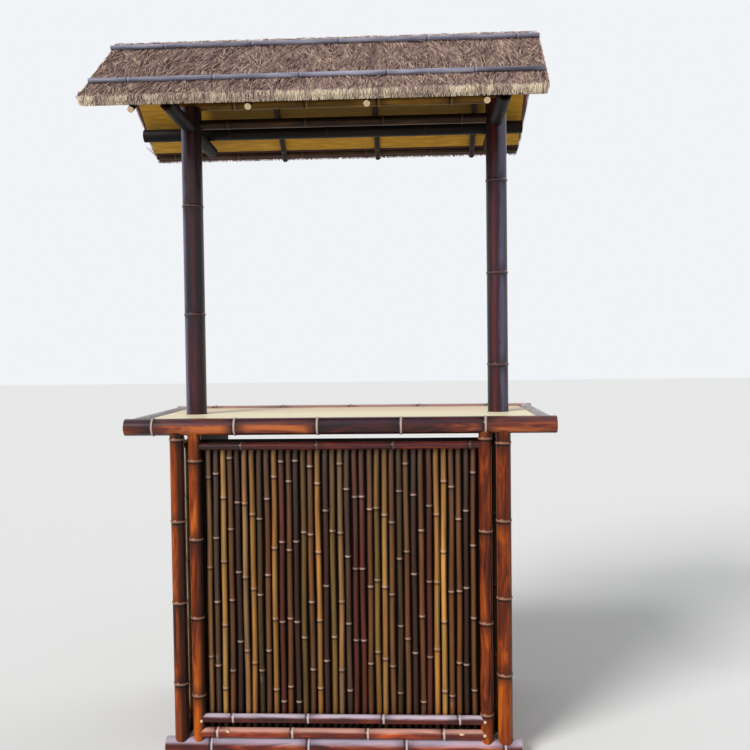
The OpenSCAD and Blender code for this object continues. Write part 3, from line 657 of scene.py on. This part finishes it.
def eave_stems(side, n):
    """Cut straw ends along the eave, pale and uneven, fullest at the left corner."""
    fringe, patch = field(0.018, 0.8, -0.5, 0.7), field(0.070, 0.8, -0.5, 0.8)
    u = rng.uniform(-1, 1, n)
    corner = rng.random(n) < 0.05
    x1 = np.where(corner, -half_length(THATCH_END) + rng.uniform(-0.004, 0.05, n), u * half_length(THATCH_END))
    full = np.clip(np.where(corner, 1.0, fringe(x1, 0 * x1) + patch(x1, 0 * x1)), 0, 1)
    on_top = rng.random(n) < 0.35
    p1 = np.where(on_top, THATCH_TOP - rng.uniform(0.0, 0.005, n), rng.uniform(LIP_SEAT + 0.006, THATCH_TOP - 0.003, n))
    s1 = THATCH_END + rng.uniform(-0.003, 0.006, n)
    length = rng.uniform(0.018, 0.040, n) * (0.5 + full)
    # The last third of a stem droops over the end face
    t = np.linspace(0, 1, 4)[None]
    run = np.clip(t * 1.5, 0, 1)
    droop = np.clip(t * 3 - 2, 0, 1)
    s = (s1 - length)[:, None] * (1 - run) + s1[:, None] * run + 0.002 * droop
    fall = np.minimum(rng.uniform(0.005, 0.012, n), p1 - LIP_SEAT - 0.001)
    p = np.minimum(p1 + 0.004, THATCH_TOP)[:, None] * (1 - run) + p1[:, None] * run - fall[:, None] * droop
    lean = rng.normal(0, 0.22, n)
    x = x1[:, None] + lean[:, None] * (s - s1[:, None])
    low = np.clip((THATCH_TOP - p1) / 0.014, 0.35, 1.0)
    pale = np.clip(t * 3 - 1, 0, 1) * np.maximum(full, np.where(on_top, 0.1, rng.uniform(0.0, 0.5, n) * low))[:, None]
    under = (side > 0) & (p1 < LIP_SEAT + 0.012)
    pale = np.where(under[:, None], 0.1 * pale, pale)
    base = PALETTE[rng.choice(len(PALETTE), n, p=SHARES)] * 0.8
    bright = rng.uniform(0.8, 1.12, n)[:, None, None]
    tones = tempered(base[:, None, :] * (1 - pale[..., None]) + STRAW * bright * pale[..., None])
    tones[..., 3] = 1
    return ribbons(side, x, s, p, rng.uniform(0.0020, 0.0040, n), rng.uniform(-0.6, 0.6, n), tones)


def verge_stems(side, n):
    """Ragged stems down both gable ends."""
    end = np.where(rng.random(n) < 0.5, -1, 1)
    s1 = rng.uniform(0.03, THATCH_END, n)
    length = rng.uniform(0.03, 0.09, n)
    s0 = np.maximum(s1 - length, -0.012)
    t = np.linspace(0, 1, 4)[None]
    s = s0[:, None] * (1 - t) + s1[:, None] * t
    step = np.where(s1 > EAVE_STEP - 0.02, EAVE_SEAT, THATCH_SEAT)
    p1 = step + (THATCH_TOP - step) * rng.random(n)
    p = p1[:, None] + rng.uniform(-0.004, 0.004, (n, 4)) * t
    p = np.maximum(p, step[:, None] + 0.001)
    out = rng.uniform(-0.006, 0.002, n)[:, None] + rng.normal(0.001, 0.004, n)[:, None] * t
    x = end[:, None] * (half_length(s) + np.minimum(out, 0.006))
    base = PALETTE[rng.choice(len(PALETTE), n, p=SHARES)] * rng.uniform(0.8, 1.15, n)[:, None]
    tones = np.repeat(base[:, None, :], 4, axis=1)
    tones[..., 3] = 1
    return ribbons(side, x, s, p, rng.uniform(0.0014, 0.0034, n), rng.uniform(0.8, 2.3, n), tones)


def ridge_stems(side, n):
    """Loose stems folded over the ridge between its two battens."""
    x1 = rng.uniform(-1, 1, n) * (half_length(0.0) + 0.002)
    mid = rng.uniform(-0.046, -0.004, n)
    way = rng.uniform(-1, 1, n)
    span = rng.uniform(0.02, 0.05, n)
    t = np.linspace(-0.5, 0.5, 4)[None]
    s = mid[:, None] + span[:, None] * np.cos(way * 1.2)[:, None] * t
    x = x1[:, None] + span[:, None] * np.sin(way * 1.2)[:, None] * t
    p = THATCH_TOP + rng.uniform(-0.003, 0.006, n)[:, None] + 0.003 * np.sin((t + 0.5) * 3.1)
    back = s < -p * math.tan(PITCH)
    s = np.where(back, -p * math.tan(PITCH), s)
    base = PALETTE[rng.choice(len(PALETTE), n, p=SHARES)] * rng.uniform(0.9, 1.25, n)[:, None]
    tones = np.repeat(base[:, None, :], 4, axis=1)
    tones[..., 3] = 1
    return ribbons(side, x, s, p, rng.uniform(0.0014, 0.0030, n), rng.uniform(-0.8, 0.8, n), tones)


def stems(side, name):
    parts = [surface_stems(side, 22000), eave_stems(side, 6000), verge_stems(side, 2400), ridge_stems(side, 2200)]
    verts, faces, tones, at = [], [], [], 0
    for v, f, c in parts:
        verts.append(v)
        faces.append(f + at)
        tones.append(c)
        at += len(v)
    return make_mesh(name, np.concatenate(verts), np.concatenate(faces), STEMS, np.concatenate(tones))


for side, word in ((-1, "front"), (1, "back")):
    for piece in (felt(side, word + "_thatch_felt"), stems(side, word + "_thatch_stems")):
        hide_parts(word + "_thatch")
        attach(piece, "root")

def pegs():
    """Pale dowel ends in the inner legs, and two stubs of branches on the lower rail."""
    verts, faces = [], []
    sides = 12
    ang = np.arange(sides) * 2 * math.pi / sides
    for (x, z), radius, front, rear in PEGS:
        at = sum(len(v) for v in verts)
        rings = ((rear, 1.0), (front + 0.0015, 1.0), (front + 0.0004, 0.92), (front, 0.7))
        for y, share in rings:
            r = radius * share * (1 + 0.05 * np.sin(3 * ang + x * 90))
            verts.append(np.stack([x + r * np.cos(ang), np.full(sides, y), z + r * np.sin(ang)], axis=-1))
        for k in range(len(rings) - 1):
            for j in range(sides):
                a, b = at + k * sides + j, at + k * sides + (j + 1) % sides
                faces.append((a, b, b + sides, a + sides))
        last = at + (len(rings) - 1) * sides
        faces += [(last, last + j, last + j + 1, last + j + 2) for j in range(1, sides - 2, 2)]
    m = Mat("peg_wood", rough=0.6, spec=0.2)
    grain = m.noise(m.scaled((420.0, 160.0, 420.0)), 1.0, 3.0)
    colour = m.ramp(grain, [(0.3, rgb(190, 150, 106)), (0.7, rgb(240, 210, 172))])
    side = m.math("GREATER_THAN", m.xyz(m.node("ShaderNodeNewGeometry").outputs["Normal"])[1], -0.5)
    colour = m.mix(m.math("MULTIPLY", side, 0.7), colour, rgb(120, 70, 40))
    piece = smooth(make_mesh("peg_ends", np.concatenate(verts), faces, m.done(colour, m.bump(grain, 0.3))))
    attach(piece, "root")


pegs()

# Floor
bpy.ops.mesh.primitive_plane_add(size=60, location=(0, 0, 0))
floor = bpy.context.active_object
floor.name = "studio_floor"
fm = Mat("floor_paint", rough=0.9, spec=0.1)
floor.data.materials.append(fm.done(rgb(240, 240, 238)))

# World: pale to the camera and in reflections, softer as light
world = bpy.data.worlds.new("studio_world")
bpy.context.scene.world = world
world.use_nodes = True
wt = world.node_tree
bg = wt.nodes["Background"]
bg.inputs["Color"].default_value = (0.88, 0.90, 0.93, 1)
path = wt.nodes.new("ShaderNodeLightPath")
seen = path.outputs["Is Camera Ray"]
for name in ("Is Glossy Ray", "Is Transmission Ray"):
    either = wt.nodes.new("ShaderNodeMath")
    either.operation = "MAXIMUM"
    wt.links.new(seen, either.inputs[0])
    wt.links.new(path.outputs[name], either.inputs[1])
    seen = either.outputs[0]
level = wt.nodes.new("ShaderNodeMapRange")
wt.links.new(seen, level.inputs[0])
level.inputs[3].default_value = 0.38
level.inputs[4].default_value = 1.0
wt.links.new(level.outputs[0], bg.inputs["Strength"])


def sun(name, direction, power, angle):
    d = bpy.data.lights.new(name, "SUN")
    d.energy = power
    d.angle = math.radians(angle)
    o = bpy.data.objects.new(name, d)
    bpy.context.scene.collection.objects.link(o)
    o.rotation_euler = Vector(direction).to_track_quat("-Z", "Y").to_euler()


sun("key_light", (0.95, 1.0, -0.90), 2.8, 25)
sun("rim_light", (-0.8, -0.6, -0.9), 0.4, 40)

# Camera, fitted to the photograph
yaw, tilt, roll = 0.0495, -0.0312, -0.0125
right = Vector((math.cos(yaw), math.sin(yaw), 0))
ahead = Vector((-math.sin(yaw), math.cos(yaw), 0))
up = Vector((0, 0, 1))
look = ahead * math.cos(tilt) + up * math.sin(tilt)
up2 = up * math.cos(tilt) - ahead * math.sin(tilt)
x_axis = right * math.cos(roll) + up2 * math.sin(roll)
y_axis = up2 * math.cos(roll) - right * math.sin(roll)
rot = Matrix((x_axis, y_axis, -look)).transposed()
cam = bpy.data.objects.new("camera", bpy.data.cameras.new("camera"))
bpy.context.scene.collection.objects.link(cam)
cam.matrix_world = Matrix.Translation((BAR_X + 0.249, -2.957, 1.2825)) @ rot.to_4x4()
cam.data.sensor_width = 36
cam.data.lens = 850 / 750 * 36
bpy.context.scene.camera = cam
bpy.context.scene.view_settings.view_transform = "Standard"
